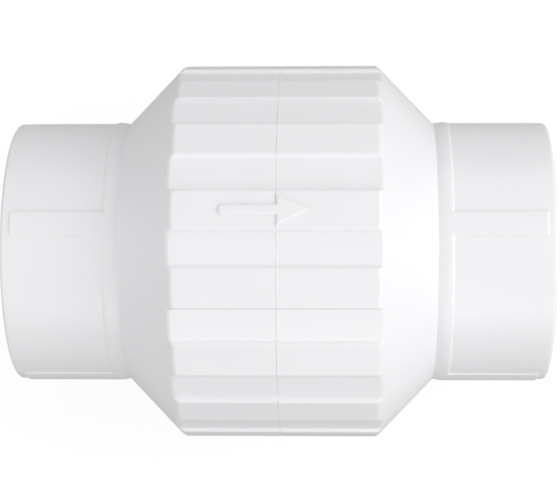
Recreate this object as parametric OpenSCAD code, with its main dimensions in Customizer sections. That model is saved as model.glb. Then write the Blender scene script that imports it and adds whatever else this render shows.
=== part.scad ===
// Spring-loaded in-line non-return valve in white PVC, with plain sockets for solvent-welded pipe.
// The flow runs along +X. The origin is on the flow axis, in the plane where the two halves join.
// The flow arrow is on top, towards +Z.

/* [Sockets] */
// Outside diameter of the pipe that is glued in
pipe_d = 48.26; // [47:0.01:49]
// Inside diameter of that pipe, and of the throats behind the sockets
pipe_bore = 40.9; // [38:0.1:42]
// Radial room for cement between pipe and socket
cement_gap = 0.07; // [0.05:0.01:0.2]
// Depth of each socket, from its rim to its stop
socket_depth = 27.8; // [26:0.1:30]
// Wall of each socket
socket_wall = 5.1; // [4:0.1:6]
// Chamfer that leads the pipe into each socket
mouth_chamfer = 0.8; // [0.4:0.1:1.4]
// Rounding of each rim's outer edge
rim_round = 0.8; // [0.3:0.1:1.4]
// Length of the plain barrel between the collar and the rim
barrel_length = 22.2; // [20:0.1:26]

/* [Collar and keys] */
// Width of the raised collar at each cone's foot
collar_width = 3.6; // [2:0.1:6]
// Height of the collar and of the keys above the barrel
collar_relief = 0.3; // [0.2:0.05:0.8]
// Width of the keys on top and underneath
key_width = 5; // [3:0.1:8]
// Width of the keys on the two sides
side_key_width = 9; // [4:0.1:12]
// Distance of each key's end from the rim
key_end_gap = 1.9; // [1.5:0.1:5]

/* [Ribbed band] */
// Length of the band, between the two cones
band_length = 45; // [42:0.5:54]
// Diameter across the corners of the raised pads
band_d = 84.9; // [83:0.1:90]
// Number of raised pads round the band
pad_count = 16; // [12:4:20]
// Width of a pad's flat top
pad_width = 8; // [6:0.1:9]
// Sideways run of a pad's sloped flank
pad_flank = 0.7; // [0.3:0.1:1]
// Height of the pads above the flats between them
pad_relief = 0.8; // [0.4:0.1:1.4]
// Angle between each cone and the flow axis
cone_slope = 46; // [42:1:54]

/* [Flow arrow] */
// Length of the arrow's shaft, on the inlet half
shaft_length = 12.2; // [8:0.1:18]
// Width of the arrow's shaft
shaft_width = 2.5; // [1.5:0.1:4]
// Length of the arrow's head, on the outlet half
head_length = 7.4; // [5:0.1:12]
// Width of the arrow's head at its base
head_width = 6.8; // [5:0.1:8]
// Height of the arrow above its pad
arrow_relief = 0.5; // [0.3:0.1:0.8]

/* [Body inside] */
// Wall between the valve chamber and the flats of the band
band_wall = 4.6; // [4:0.1:6]
// Wall of the inlet cone, square to its surface
cone_wall = 4.6; // [4:0.1:6]
// Wall between the socket stop and the pocket round the seat
stop_wall = 5; // [4:0.1:6]
// Length of the tongue that joins the halves
tongue_length = 4; // [3:0.1:6]
// Thickness of that tongue
tongue_wall = 2.1; // [1.5:0.1:2.4]
// Room for the weld round the tongue
weld_gap = 0.1; // [0.05:0.01:0.2]
// Distance of the seat upstream of the joint between the halves
seat_x = 14; // [12:0.5:16]
// Width of the seat's flat land
seat_land = 1.6; // [1:0.1:2]
// Extra wall at the foot of the seat nozzle
seat_foot = 3; // [1.5:0.1:4]
// Rounding inside the pocket round the seat
pocket_round = 1.2; // [0.5:0.1:1.8]

/* [Guide spider] */
// Outside diameter of the spider's ring
spider_d = 53.8; // [52:0.1:56]
// Wall of the ring
spider_ring_wall = 3.2; // [2.4:0.1:4]
// Length of the ring along the flow
spider_ring_length = 5; // [4:0.1:6]
// Radial room between the ring and the outlet half
spider_gap = 0.1; // [0.05:0.01:0.3]
// Length of the cylinder between the joint and the funnel that leads to the ring
funnel_start = 15.5; // [12:0.5:18]
// Distance of the ledge that carries the ring from the outlet stop
ledge_wall = 3; // [2.5:0.1:4]
// Diameter of the hub
hub_d = 21; // [20:0.5:24]
// Length of the hub
hub_length = 13; // [11:0.5:15]
// Number of vanes between hub and ring
vane_count = 4; // [3:1:6]
// Thickness of each vane
vane_t = 2.4; // [1.6:0.1:3]
// How far the vanes start behind the hub's face
vane_setback = 2.4; // [1:0.1:4]

/* [Stem and bush] */
// Diameter of the steel stem
stem_d = 8; // [6:0.1:9]
// Running clearance of the stem in its bush, on the radius
stem_clearance = 0.05; // [0.02:0.01:0.1]
// Wall of the bush
bush_wall = 2; // [1.2:0.1:2.5]
// Gap on the radius between pieces that are pressed together
press_gap = 0.03; // [0.01:0.01:0.05]
// How far the stem's end stops short of the hub's end when the valve is shut
stem_end_gap = 3; // [1:0.5:5]
// Chamfer at the stem's ends
stem_chamfer = 0.6; // [0.2:0.1:1]

/* [Poppet] */
// Lift of the poppet from shut to fully open
lift = 10; // [7:0.5:11]
// Gap left at full lift between the poppet's boss and the bush
stop_gap = 0.3; // [0.2:0.05:0.5]
// Thickness of the poppet's disc behind the seal
disc_t = 4; // [3:0.1:5]
// Width of the rim that holds the seal's edge
disc_rim = 1.3; // [1:0.1:2]
// How far the seal stands proud of that rim
seal_proud = 0.8; // [0.4:0.1:1.2]
// Wall of the boss round the stem
boss_wall = 2.5; // [2:0.1:3]
// Room round the boss in the spring's washer, on the radius
boss_gap = 0.3; // [0.2:0.05:0.5]
// Number of stiffening ribs on the disc's back
rib_count = 8; // [6:1:12]
// Thickness of those ribs
rib_t = 1.6; // [1.2:0.1:2.4]
// Height of those ribs beside the spring
rib_h = 2.6; // [1.5:0.1:3]
// Chamfer on the back of the disc's edge
disc_chamfer = 2; // [1:0.1:2.5]

/* [Seal and its fixing] */
// Thickness of the rubber seal
seal_t = 2.5; // [2:0.1:3.5]
// How far the seal reaches past the seat's land
seal_overlap = 1.4; // [0.8:0.1:2]
// Diameter of the spigot that passes through the seal
spigot_d = 18; // [14:0.5:20]
// Room between the seal and what it fits round or in, on the radius
seal_gap = 0.15; // [0.1:0.05:0.3]
// Room between the retainer and the throat, on the radius
retainer_gap = 2.9; // [2:0.1:4]
// Thickness of the retainer's plate at its middle
retainer_t = 3; // [2.4:0.1:4]
// Thickness of the retainer's plate at its edge
retainer_edge = 1.2; // [0.8:0.1:2]
// Width of the retainer's flat round its washer
retainer_land = 1; // [0.5:0.1:2]
// Diameter of the retaining screw's thread
screw_d = 5; // [4:0.1:5]
// Radial room round the screw in the retainer and washer
screw_gap = 0.25; // [0.15:0.05:0.4]
// Diameter of the screw's head
screw_head_d = 9.5; // [8.5:0.1:10]
// Height of the screw's head
screw_head_h = 3.2; // [2.5:0.1:4]
// Width across the flats of the socket in the screw's head
screw_drive = 4; // [3:0.5:4]
// Depth of that socket
drive_depth = 1.9; // [1:0.1:2.2]
// Length of thread inside the stem
thread_length = 10.5; // [8:0.5:13]
// Room in the stem past the screw's end
thread_room = 2.5; // [1:0.5:4]
// Diameter of the washer under the head
washer_d = 12; // [11:0.5:14]
// Thickness of the flat washers
washer_t = 0.8; // [0.5:0.1:1.2]

/* [Spring] */
// Mean diameter of the spring
spring_d = 18; // [17.5:0.1:20]
// Diameter of the spring's wire
wire_d = 1.2; // [1:0.1:1.4]
// Number of working turns
active_turns = 6; // [5:1:7]
// Gap between the spring's end and what it bears on
spring_gap = 0.1; // [0.05:0.01:0.2]

/* [Hidden] */

$fn = 96;
// How far a cutting solid passes the face that it opens
past = 1;

// Outside of the sockets, from the flow axis outwards
socket_r = pipe_d / 2 + cement_gap;
barrel_r = socket_r + socket_wall;
collar_r = barrel_r + collar_relief;
pad_r = band_d / 2;
floor_r = pad_r - pad_relief;

// Stations along the flow, counted from the joint towards either rim
band_end = band_length / 2;
cone_foot = band_end + (floor_r - collar_r) / tan(cone_slope);
collar_end = cone_foot + collar_width;
rim = collar_end + barrel_length;
stop = rim - socket_depth;

// Inside of the halves
throat_r = pipe_bore / 2;
chamber_r = floor_r - band_wall;
tongue_r = chamber_r + tongue_wall;
groove_r = tongue_r + weld_gap;
cone_shift = cone_wall / sin(cone_slope);
chamber_end = band_end - cone_shift + (floor_r - chamber_r) / tan(cone_slope);
pocket_floor = stop - stop_wall;
pocket_r = floor_r - (pocket_floor - band_end + cone_shift) * tan(cone_slope);
nozzle_r = throat_r + seat_land;
nozzle_foot_r = nozzle_r + seat_foot;

// Spider, bush and stem
spider_seat_r = spider_d / 2 + spider_gap;
ledge = stop - ledge_wall;
ring_front = ledge - spider_ring_length;
hub_front = ledge - hub_length;
hub_r = hub_d / 2;
stem_r = stem_d / 2;
bush_bore_r = stem_r + stem_clearance;
bush_r = bush_bore_r + bush_wall;
stem_end = ledge - stem_end_gap;

// Poppet, from the seat downstream
seal_front = -seat_x;
disc_front = seal_front + seal_t;
disc_back = disc_front + disc_t;
seal_r = nozzle_r + seal_overlap;
disc_r = seal_r + seal_gap + disc_rim;
boss_r = stem_r + press_gap + boss_wall;
boss_end = hub_front - stop_gap - lift;

// Retainer and screw, from the seal upstream
retainer_r = throat_r - retainer_gap;
retainer_front = seal_front - retainer_t;
screw_r = screw_d / 2;
head_seat = retainer_front - washer_t;

// Spring, between the disc and the washer on the hub
spring_r = spring_d / 2;
wire_r = wire_d / 2;
washer_front = hub_front - washer_t;
spring_start = disc_back + spring_gap;
spring_end = washer_front - spring_gap;
dead_turns = 1;
ring_sides = 8;
ring_steps = 20;

// Stands a piece that was drawn along Z on the flow axis: Z becomes +X, and X becomes the top.
module along_flow() {
    rotate([0, 90, 0])
        rotate([0, 0, 180])
            children();
}

// Each half is drawn from the joint towards its rim, so the inlet half is turned end for end.
module facing_inlet() {
    mirror([0, 0, 1])
        children();
}

function polar(r, a) = [r * cos(a), r * sin(a)];

// Points of an arc about a centre, without a point for each degree
function arc(centre, r, from, to, steps = 8) =
    [for (i = [0:steps]) centre + polar(r, from + (to - from) * i / steps)];

// Section through the band: flat pads with sloped flanks, and flats between them
function band_outline() = [
    for (k = [0:pad_count - 1])
        let (middle = k * 360 / pad_count,
            top = asin(pad_width / 2 / pad_r),
            foot = asin((pad_width / 2 + pad_flank) / floor_r))
        each [polar(floor_r, middle - foot), polar(pad_r, middle - top),
            polar(pad_r, middle + top), polar(floor_r, middle + foot)]
];

// Half section that bounds a half from outside: cone, collar and barrel with its rounded rim
module outside_profile() {
    polygon([[0, 0], [pad_r + past, 0],
        [pad_r + past, band_end - (pad_relief + past) / tan(cone_slope)],
        [collar_r, cone_foot], [collar_r, collar_end], [barrel_r, collar_end],
        [barrel_r, rim - rim_round], [barrel_r - rim_round, rim - rim_round],
        [barrel_r - rim_round, rim], [0, rim]]);
    translate([barrel_r - rim_round, rim - rim_round])
        circle(rim_round);
}

// Raises an outline above the flat of the top pad, with its X turned towards the joint
module on_top_pad() {
    translate([pad_r * cos(asin(pad_width / 2 / pad_r)) - past, 0, 0])
        rotate([0, 90, 0])
            linear_extrude(past + arrow_relief)
                children();
}

module arrow_shaft() {
    rounded = shaft_width / 2;
    on_top_pad() {
        translate([rounded - shaft_length, -rounded])
            square([shaft_length - rounded, shaft_width]);
        translate([rounded - shaft_length, 0])
            circle(rounded);
    }
}

module arrow_head() {
    on_top_pad()
        polygon([[0, -head_width / 2], [-head_length, 0], [0, head_width / 2]]);
}

// The keys are raised strips that run from the collar almost to the rim.
module keys() {
    start = cone_foot + collar_width / 2;
    length = rim - key_end_gap - start;
    widths = [key_width, side_key_width];
    for (k = [0:3])
        rotate([0, 0, k * 90])
            intersection() {
                translate([0, 0, start])
                    difference() {
                        cylinder(h = length, r = collar_r);
                        translate([0, 0, -past])
                            cylinder(h = length + 2 * past, r = barrel_r - past);
                    }
                translate([0, -widths[k % 2] / 2, 0])
                    cube([collar_r + past, widths[k % 2], rim]);
            }
}

module half_outside() {
    intersection() {
        rotate_extrude()
            outside_profile();
        union() {
            linear_extrude(cone_foot)
                polygon(band_outline());
            translate([0, 0, cone_foot])
                cylinder(h = rim - cone_foot + past, r = collar_r + past);
        }
    }
    keys();
}

// Socket and throat, which are the same in both halves
module socket_bore() {
    translate([0, 0, stop])
        cylinder(h = rim - stop + past, r = socket_r);
    translate([0, 0, rim - mouth_chamfer])
        cylinder(h = mouth_chamfer + past, r1 = socket_r, r2 = socket_r + mouth_chamfer + past);
}

// Chamber of the inlet half: hollow tongue, then a ring-shaped pocket round the seat nozzle
module inlet_chamber() {
    pocket_corner = [nozzle_foot_r + pocket_round, pocket_floor - pocket_round];
    tongue_end = -tongue_length - past;
    rotate_extrude()
        polygon(concat(
            [[0, tongue_end], [chamber_r, tongue_end], [chamber_r, chamber_end], [pocket_r, pocket_floor]],
            arc(pocket_corner, pocket_round, 90, 180),
            [[nozzle_r, seat_x], [throat_r, seat_x], [throat_r, stop + past], [0, stop + past]]
        ));
}

module inlet_body() {
    color("white")
        along_flow()
            facing_inlet()
                difference() {
                    union() {
                        half_outside();
                        arrow_shaft();
                        translate([0, 0, -tongue_length])
                            cylinder(h = tongue_length + past, r = tongue_r);
                    }
                    socket_bore();
                    inlet_chamber();
                }
}

module outlet_body() {
    color("white")
        along_flow()
            difference() {
                union() {
                    half_outside();
                    arrow_head();
                }
                socket_bore();
                outlet_chamber();
            }
}

// Chamber of the outlet half: groove for the tongue, funnel, spider seat with its ledge, and throat
module outlet_chamber() {
    rotate_extrude()
        polygon([[0, -past], [groove_r, -past], [groove_r, tongue_length + weld_gap],
            [chamber_r, tongue_length + weld_gap], [chamber_r, funnel_start],
            [spider_seat_r, ring_front], [spider_seat_r, ledge], [throat_r, ledge],
            [throat_r, stop + past], [0, stop + past]]);
}

module guide_spider() {
    ring_in = spider_d / 2 - spider_ring_wall;
    vane_front = hub_front + vane_setback;
    color("whitesmoke")
        along_flow()
            difference() {
                union() {
                    translate([0, 0, hub_front])
                        cylinder(h = hub_length, r = hub_r);
                    translate([0, 0, ring_front])
                        difference() {
                            cylinder(h = spider_ring_length, r = spider_d / 2);
                            translate([0, 0, -past])
                                cylinder(h = spider_ring_length + 2 * past, r = ring_in);
                        }
                    for (k = [0:vane_count - 1])
                        rotate([0, 0, (k + 0.5) * 360 / vane_count])
                            rotate([90, 0, 0])
                                translate([0, 0, -vane_t / 2])
                                    linear_extrude(vane_t)
                                        polygon([[hub_r - past, vane_front], [ring_in + past, ring_front],
                                            [ring_in + past, ledge], [hub_r - past, ledge]]);
                }
                translate([0, 0, hub_front - past])
                    cylinder(h = hub_length + 2 * past, r = bush_r + press_gap);
            }
}

module stem_bush() {
    color("ivory")
        along_flow()
            translate([0, 0, hub_front])
                difference() {
                    cylinder(h = hub_length, r = bush_r);
                    translate([0, 0, -past])
                        cylinder(h = hub_length + 2 * past, r = bush_bore_r);
                }
}

module flat_washer(outer_d, bore_r) {
    difference() {
        cylinder(h = washer_t, r = outer_d / 2);
        translate([0, 0, -past])
            cylinder(h = washer_t + 2 * past, r = bore_r);
    }
}

// Steel washer on the hub's face, which the boss passes through at full lift
module spring_washer() {
    color("silver")
        along_flow()
            translate([0, 0, washer_front])
                flat_washer(spring_d + 2 * wire_d, boss_r + boss_gap);
}

// Where the middle of the wire is along the flow, after so many turns from the disc
function spring_rise(turn) =
    let (turns = active_turns + 2 * dead_turns,
        dead_rise = dead_turns * (wire_d + spring_gap),
        active_rise = spring_end - spring_start - wire_d - 2 * dead_rise)
    spring_start + wire_r + (turn < dead_turns ? turn * dead_rise / dead_turns
        : turn > turns - dead_turns ? dead_rise + active_rise
            + (turn - turns + dead_turns) * dead_rise / dead_turns
        : dead_rise + (turn - dead_turns) * active_rise / active_turns);

// Wire of the spring, swept as a ring of points for each step of its turns
module closing_spring() {
    turns = active_turns + 2 * dead_turns;
    rings = turns * ring_steps;
    points = [
        for (i = [0:rings], j = [0:ring_sides - 1])
            let (turn = i / ring_steps,
                out = spring_r + wire_r * cos(j * 360 / ring_sides))
            [out * cos(turn * 360), out * sin(turn * 360),
                spring_rise(turn) + wire_r * sin(j * 360 / ring_sides)]
    ];
    sides = [
        for (i = [0:rings - 1], j = [0:ring_sides - 1])
            let (next = (j + 1) % ring_sides)
            [i * ring_sides + j, (i + 1) * ring_sides + j, (i + 1) * ring_sides + next, i * ring_sides + next]
    ];
    first = [for (j = [0:ring_sides - 1]) j];
    last = [for (j = [0:ring_sides - 1]) rings * ring_sides + ring_sides - 1 - j];
    color("lightsteelblue")
        along_flow()
            polyhedron(points, concat(sides, [first], [last]));
}

module poppet_disc() {
    rib_in = spring_r + wire_r + boss_gap;
    color("gainsboro")
        along_flow()
            difference() {
                union() {
                    rotate_extrude()
                        polygon([[0, disc_front], [seal_r + seal_gap, disc_front],
                            [seal_r + seal_gap, seal_front + seal_proud], [disc_r, seal_front + seal_proud],
                            [disc_r, disc_back - disc_chamfer], [disc_r - disc_chamfer, disc_back],
                            [boss_r, disc_back], [boss_r, boss_end], [0, boss_end]]);
                    for (k = [0:rib_count - 1])
                        rotate([0, 0, k * 360 / rib_count])
                            rotate([90, 0, 0])
                                translate([0, 0, -rib_t / 2])
                                    linear_extrude(rib_t)
                                        polygon([[rib_in, disc_back - past], [rib_in, disc_back + rib_h],
                                            [rib_in + rib_h, disc_back + rib_h],
                                            [disc_r - disc_chamfer, disc_back],
                                            [disc_r - disc_chamfer, disc_back - past]]);
                }
                translate([0, 0, disc_front - past])
                    cylinder(h = boss_end - disc_front + 2 * past, r = stem_r + press_gap);
            }
}

module guide_stem() {
    hole = thread_length + thread_room;
    color("silver")
        along_flow()
            difference() {
                rotate_extrude()
                    polygon([[0, disc_front], [stem_r - stem_chamfer, disc_front],
                        [stem_r, disc_front + stem_chamfer], [stem_r, stem_end - stem_chamfer],
                        [stem_r - stem_chamfer, stem_end], [0, stem_end]]);
                translate([0, 0, disc_front - past])
                    cylinder(h = hole + past, r = screw_r + press_gap);
            }
}

module seal_ring() {
    color("dimgray")
        along_flow()
            translate([0, 0, seal_front])
                difference() {
                    cylinder(h = seal_t, r = seal_r);
                    translate([0, 0, -past])
                        cylinder(h = seal_t + 2 * past, r = spigot_d / 2 + seal_gap);
                }
}

// Domed plate with a spigot that bears on the disc, so that the seal is never squeezed too far
module seal_retainer() {
    flat_r = washer_d / 2 + retainer_land;
    dome_r = retainer_r - flat_r;
    dome_h = retainer_t - retainer_edge;
    dome_steps = 6;
    color("gainsboro")
        along_flow()
            difference() {
                rotate_extrude()
                    polygon(concat(
                        [[0, disc_front], [spigot_d / 2, disc_front], [spigot_d / 2, seal_front],
                            [retainer_r, seal_front], [retainer_r, seal_front - retainer_edge]],
                        [for (i = [0:dome_steps]) let (a = i * 90 / dome_steps)
                            [flat_r + dome_r * cos(a), seal_front - retainer_edge - dome_h * sin(a)]],
                        [[0, retainer_front]]
                    ));
                translate([0, 0, retainer_front - past])
                    cylinder(h = retainer_t + seal_t + 2 * past, r = screw_r + screw_gap);
            }
}

module screw_washer() {
    color("silver")
        along_flow()
            translate([0, 0, head_seat])
                flat_washer(washer_d, screw_r + screw_gap);
}

module retainer_screw() {
    head_top = head_seat - screw_head_h;
    color("silver")
        along_flow()
            difference() {
                union() {
                    translate([0, 0, head_top])
                        cylinder(h = screw_head_h, r = screw_head_d / 2);
                    translate([0, 0, head_seat - past])
                        cylinder(h = disc_front + thread_length - head_seat + past, r = screw_r);
                }
                translate([0, 0, head_top - past])
                    cylinder(h = past + drive_depth, r = screw_drive / 2 / cos(30), $fn = 6);
            }
}

inlet_body();
outlet_body();
guide_spider();
stem_bush();
spring_washer();
closing_spring();
poppet_disc();
guide_stem();
seal_ring();
seal_retainer();
screw_washer();
retainer_screw();
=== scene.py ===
# %% [markdown]
# # Non-return valve in white PVC
#
# This lesson dresses a valve whose exact solids come from CAD. The solids are loaded first and stay where
# they are. Each piece is then modelled again with softened edges, as plastic comes out of its mould and
# steel comes off the lathe, and it gets a material of its own. At the end a camera, a floor and soft light
# are set up for one view.

# %% Load the frame
import math
import bmesh
import bpy
from mathutils import Matrix, Vector


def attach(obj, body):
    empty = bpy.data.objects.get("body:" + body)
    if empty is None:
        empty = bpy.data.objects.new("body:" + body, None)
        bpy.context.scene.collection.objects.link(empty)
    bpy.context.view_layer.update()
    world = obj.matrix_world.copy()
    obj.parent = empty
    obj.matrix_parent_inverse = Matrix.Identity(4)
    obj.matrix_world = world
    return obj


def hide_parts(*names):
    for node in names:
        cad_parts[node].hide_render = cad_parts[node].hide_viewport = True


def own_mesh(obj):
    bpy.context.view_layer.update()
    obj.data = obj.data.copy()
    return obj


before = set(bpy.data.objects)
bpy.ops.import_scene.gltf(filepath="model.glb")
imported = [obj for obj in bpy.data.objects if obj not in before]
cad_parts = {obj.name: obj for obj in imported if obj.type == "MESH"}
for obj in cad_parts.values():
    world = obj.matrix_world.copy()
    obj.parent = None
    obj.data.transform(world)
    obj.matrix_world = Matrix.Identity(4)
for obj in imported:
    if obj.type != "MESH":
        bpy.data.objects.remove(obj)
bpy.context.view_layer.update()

# %% [markdown]
# ## Sizes
#
# The valve's axis is X and its flow runs towards +X. Sizes are in millimetres, because that is how such a
# fitting is drawn, and they repeat the CAD model's: a few are chosen, and the rest follow from them. They
# are multiplied by MM where they reach Blender, which works in metres here. A station is a distance from
# the joint between the two halves, a name that ends in _r is a radius, and a run is a length along X.

# %% Sizes of the body
MM = 0.001
pipe_d, cement_gap, socket_wall, socket_depth = 48.26, 0.07, 5.1, 27.8
collar_width, collar_relief, barrel_length = 3.6, 0.3, 22.2
band_d, band_length, pad_relief, pad_width, pad_count = 84.9, 45, 0.8, 8, 16
cone_slope = 46

socket_r = pipe_d / 2 + cement_gap
barrel_r = socket_r + socket_wall
collar_r = barrel_r + collar_relief
pad_r = band_d / 2
floor_r = pad_r - pad_relief
cone_run = 1 / math.tan(math.radians(cone_slope))
band_end = band_length / 2
cone_foot = band_end + (floor_r - collar_r) * cone_run
collar_end = cone_foot + collar_width
rim = collar_end + barrel_length
stop = rim - socket_depth
sector = 360 / pad_count
print("rim at", round(rim, 3), "and pipe stop at", round(stop, 3), "mm; one pad each", sector, "degrees")

# %% [markdown]
# ## Tools for turned pieces
#
# Almost every piece of this valve is round about the X axis. On a lathe such a piece is one outline turned
# round an axis, and in edit mode it is one ring of vertices that is extruded again and again. Each extrusion
# moves the ring along X and scales it about the axis, so the ring walks along the outline. An outline that
# comes back to its start is closed by a bridge, and one that ends on the axis is closed by merging the last
# ring to a point. This gives clean rows of four-sided faces, which take a bevel well.


# %% Helpers for edit mode
def only(*pieces):
    """Selects these pieces alone, and makes the last one active."""
    bpy.ops.object.select_all(action="DESELECT")
    for piece in pieces:
        piece.select_set(True)
    bpy.context.view_layer.objects.active = pieces[-1]


def open_edit(piece):
    """Opens a piece in edit mode, with everything in it selected."""
    only(piece)
    bpy.ops.object.mode_set(mode="EDIT")
    bpy.ops.mesh.select_all(action="SELECT")


def named(name):
    """Names the primitive that was added last, and makes its place, turn and size part of its mesh."""
    piece = bpy.context.object
    piece.name = piece.data.name = name
    bpy.ops.object.transform_apply(location=True, rotation=True, scale=True)
    return piece


def piece_from_circle(name, x, r, sides):
    """Starts a piece as one ring of vertices about the X axis, and stays in edit mode."""
    bpy.ops.object.select_all(action="DESELECT")
    bpy.ops.mesh.primitive_circle_add(vertices=sides, radius=r * MM, fill_type="NOTHING",
                                      location=(x * MM, 0, 0), rotation=(0, math.pi / 2, 0))
    piece = named(name)
    open_edit(piece)
    return piece


def extrude_ring(x, r, from_x, from_r):
    """Pulls a new ring out of the selected one and puts it at station x with radius r."""
    bpy.ops.mesh.extrude_region_move(TRANSFORM_OT_translate={"value": ((x - from_x) * MM, 0, 0)})
    k = r / from_r
    bpy.ops.transform.resize(value=(1, k, k), center_override=(x * MM, 0, 0))


def end_on_axis():
    """Closes the open end at the selected ring: one more ring, merged to a point on the axis."""
    bpy.ops.mesh.extrude_region_move(TRANSFORM_OT_translate={"value": (0, 0, 0)})
    bpy.ops.mesh.merge(type="CENTER")


def bridge_ends():
    """Closes an outline that comes back to its start: picks the two open ends and bridges them."""
    bpy.ops.mesh.select_all(action="SELECT")
    bpy.ops.mesh.select_non_manifold(extend=False, use_boundary=True, use_wire=False,
                                     use_multi_face=False, use_non_contiguous=False, use_verts=False)
    bpy.ops.mesh.bridge_edge_loops()


def pick_points(piece, test):
    """Selects the vertices whose place, in millimetres, passes the test, and nothing else."""
    mesh = bmesh.from_edit_mesh(piece.data)
    for v in mesh.verts:
        v.select_set(bool(test(v.co / MM)))
    mesh.select_flush_mode()
    bmesh.update_edit_mesh(piece.data)


def finish_edit(piece):
    """Turns all faces outwards and leaves edit mode."""
    bpy.ops.mesh.select_all(action="SELECT")
    bpy.ops.mesh.normals_make_consistent(inside=False)
    bpy.ops.object.mode_set(mode="OBJECT")
    return piece


# %% [markdown]
# ## Tools for softened edges
#
# No real edge is sharp, and light catches on its round. A Bevel modifier rounds the edges, either all that
# turn by more than some angle or each by a weight of its own. Smooth shading then hides the facets, and a
# Weighted Normal modifier keeps the large flat faces flat between their rounded edges. The last function
# puts both sets of tools together: it walks along an outline, closes the piece and rounds its edges.


# %% Helpers for rounded edges
def apply_all(piece):
    """Applies a piece's modifiers from top to bottom."""
    only(piece)
    for name in [m.name for m in piece.modifiers]:
        bpy.ops.object.modifier_apply(modifier=name)


def smooth(piece):
    """Shades the piece smooth, with normals that keep its flat faces flat, and forgets older normals."""
    only(piece)
    bpy.ops.mesh.customdata_custom_splitnormals_clear()
    bpy.ops.object.shade_smooth_by_angle(angle=math.radians(35), keep_sharp_edges=False)
    normals = piece.modifiers.new("Flat faces stay flat", "WEIGHTED_NORMAL")
    normals.keep_sharp = True
    apply_all(piece)


def soften(piece, width, segments=3, angle=28, by="ANGLE"):
    """Rounds the edges to a width in millimetres, then shades smooth."""
    bevel = piece.modifiers.new("Rounded edges", "BEVEL")
    bevel.width = width * MM
    bevel.segments = segments
    bevel.limit_method = by
    bevel.angle_limit = math.radians(angle)
    bevel.miter_outer = "MITER_ARC"
    apply_all(piece)
    smooth(piece)


def turned(name, outline, sides=96, width=0.15, segments=3, ends="bridge"):
    """A turned piece from its outline, a list of (station, radius), with its edges rounded."""
    piece = piece_from_circle(name, *outline[0], sides)
    if ends == "points":
        end_on_axis()
        pick_points(piece, lambda p: math.hypot(p.y, p.z) > outline[0][1] / 2)
    for (x0, r0), (x1, r1) in zip(outline, outline[1:]):
        extrude_ring(x1, r1, x0, r0)
    if ends == "points":
        end_on_axis()
    else:
        bridge_ends()
    finish_edit(piece)
    soften(piece, width, segments)
    print(name, "has", len(piece.data.polygons), "faces")
    return piece


# %% [markdown]
# ## The outline of the ribbed band
#
# Both halves carry a wide band with sixteen raised pads, which give a hand or a strap wrench something
# to hold. A pad has a flat top, and its long edges are rounded down to short steep flanks that end in a
# sharp corner. Along one side of every pad a fine crease runs in that corner, which draws a thin dark line
# there, while the other side shows its flank as a light band. Seen from the end, one sector of 22.5 degrees
# holds one pad and half a strip on each side. The ring of vertices that the half is pulled from has its
# vertices where that outline turns, and where the raised keys further out on the socket need an edge, so
# that every line of the real part is a row of edges.


# %% Outline of one sector
def corner_angle(across, up):
    """Angle in degrees of a point from the middle of its pad."""
    return math.degrees(math.atan2(across, up))


def half_angle(width):
    """Half the angle that a key of this width takes up on the collar."""
    return math.degrees(math.asin(width / 2 / collar_r))


flat_across, edge_round, foot_across = 3.75, 0.7, 4.6
pad_top = pad_r * math.cos(math.asin(pad_width / 2 / pad_r))
outline = {corner_angle(foot_across, math.sqrt(floor_r ** 2 - foot_across ** 2)): floor_r}
for turned_by in (0, 20, 40, 60, 75):
    a = math.radians(turned_by)
    across, up = flat_across + edge_round * math.sin(a), pad_top - edge_round * (1 - math.cos(a))
    outline[corner_angle(across, up)] = math.hypot(across, up)
pad_foot, pad_edge = max(outline), min(outline)

crease_width, crease_depth = 0.26, 0.35
crease = {pad_foot + math.degrees(k * crease_width / floor_r): floor_r - depth
          for k, depth in ((1, crease_depth), (2, 0))}

key_width, side_key_width = 5, 9
key_edge, side_key_edge = half_angle(key_width), half_angle(side_key_width)
key_middle, side_key_foot = 2.4, side_key_edge + 0.75
half_sector = sorted([key_middle, key_edge, side_key_edge, side_key_foot] + list(outline))
columns = [-sector / 2] + [-a for a in reversed(half_sector)] + [0] + sorted(half_sector + list(crease))


def lean(angle):
    """Degrees from the middle of the nearest pad, positive on the side that carries the crease."""
    return (angle + sector / 2) % sector - sector / 2


def band_radius(angle):
    """Radius of the band's outline at one of the columns, from its angle round the axis."""
    for column, r in crease.items():
        if abs(lean(angle) - column) < 0.01:
            return r
    a = abs(lean(angle))
    if a < pad_edge - 0.01:
        return pad_top / math.cos(math.radians(a))
    nearest = min(outline, key=lambda b: abs(b - a))
    if abs(nearest - a) < 0.01:
        return outline[nearest]
    strip = sector / 2 - pad_foot
    return floor_r * math.cos(math.radians(strip)) / math.cos(math.radians(sector / 2 - a))


print(len(columns), "columns a sector; pad top", round(band_radius(0), 3),
      "middle of a strip", round(band_radius(sector / 2), 3))

# %% [markdown]
# ## A ring with that outline
#
# The ring starts as a single vertex at the bottom of a strip. Spin turns a copy of it round the axis from
# column to column, which draws one sector as a line of short edges. Spin again, with duplicates, repeats the
# line sixteen times, and merging by distance closes the ring.


# %% Helpers that place rings
def angle_of(co):
    """Angle of a point from the top, round the X axis."""
    return math.degrees(math.atan2(co.y, co.z))


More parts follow.
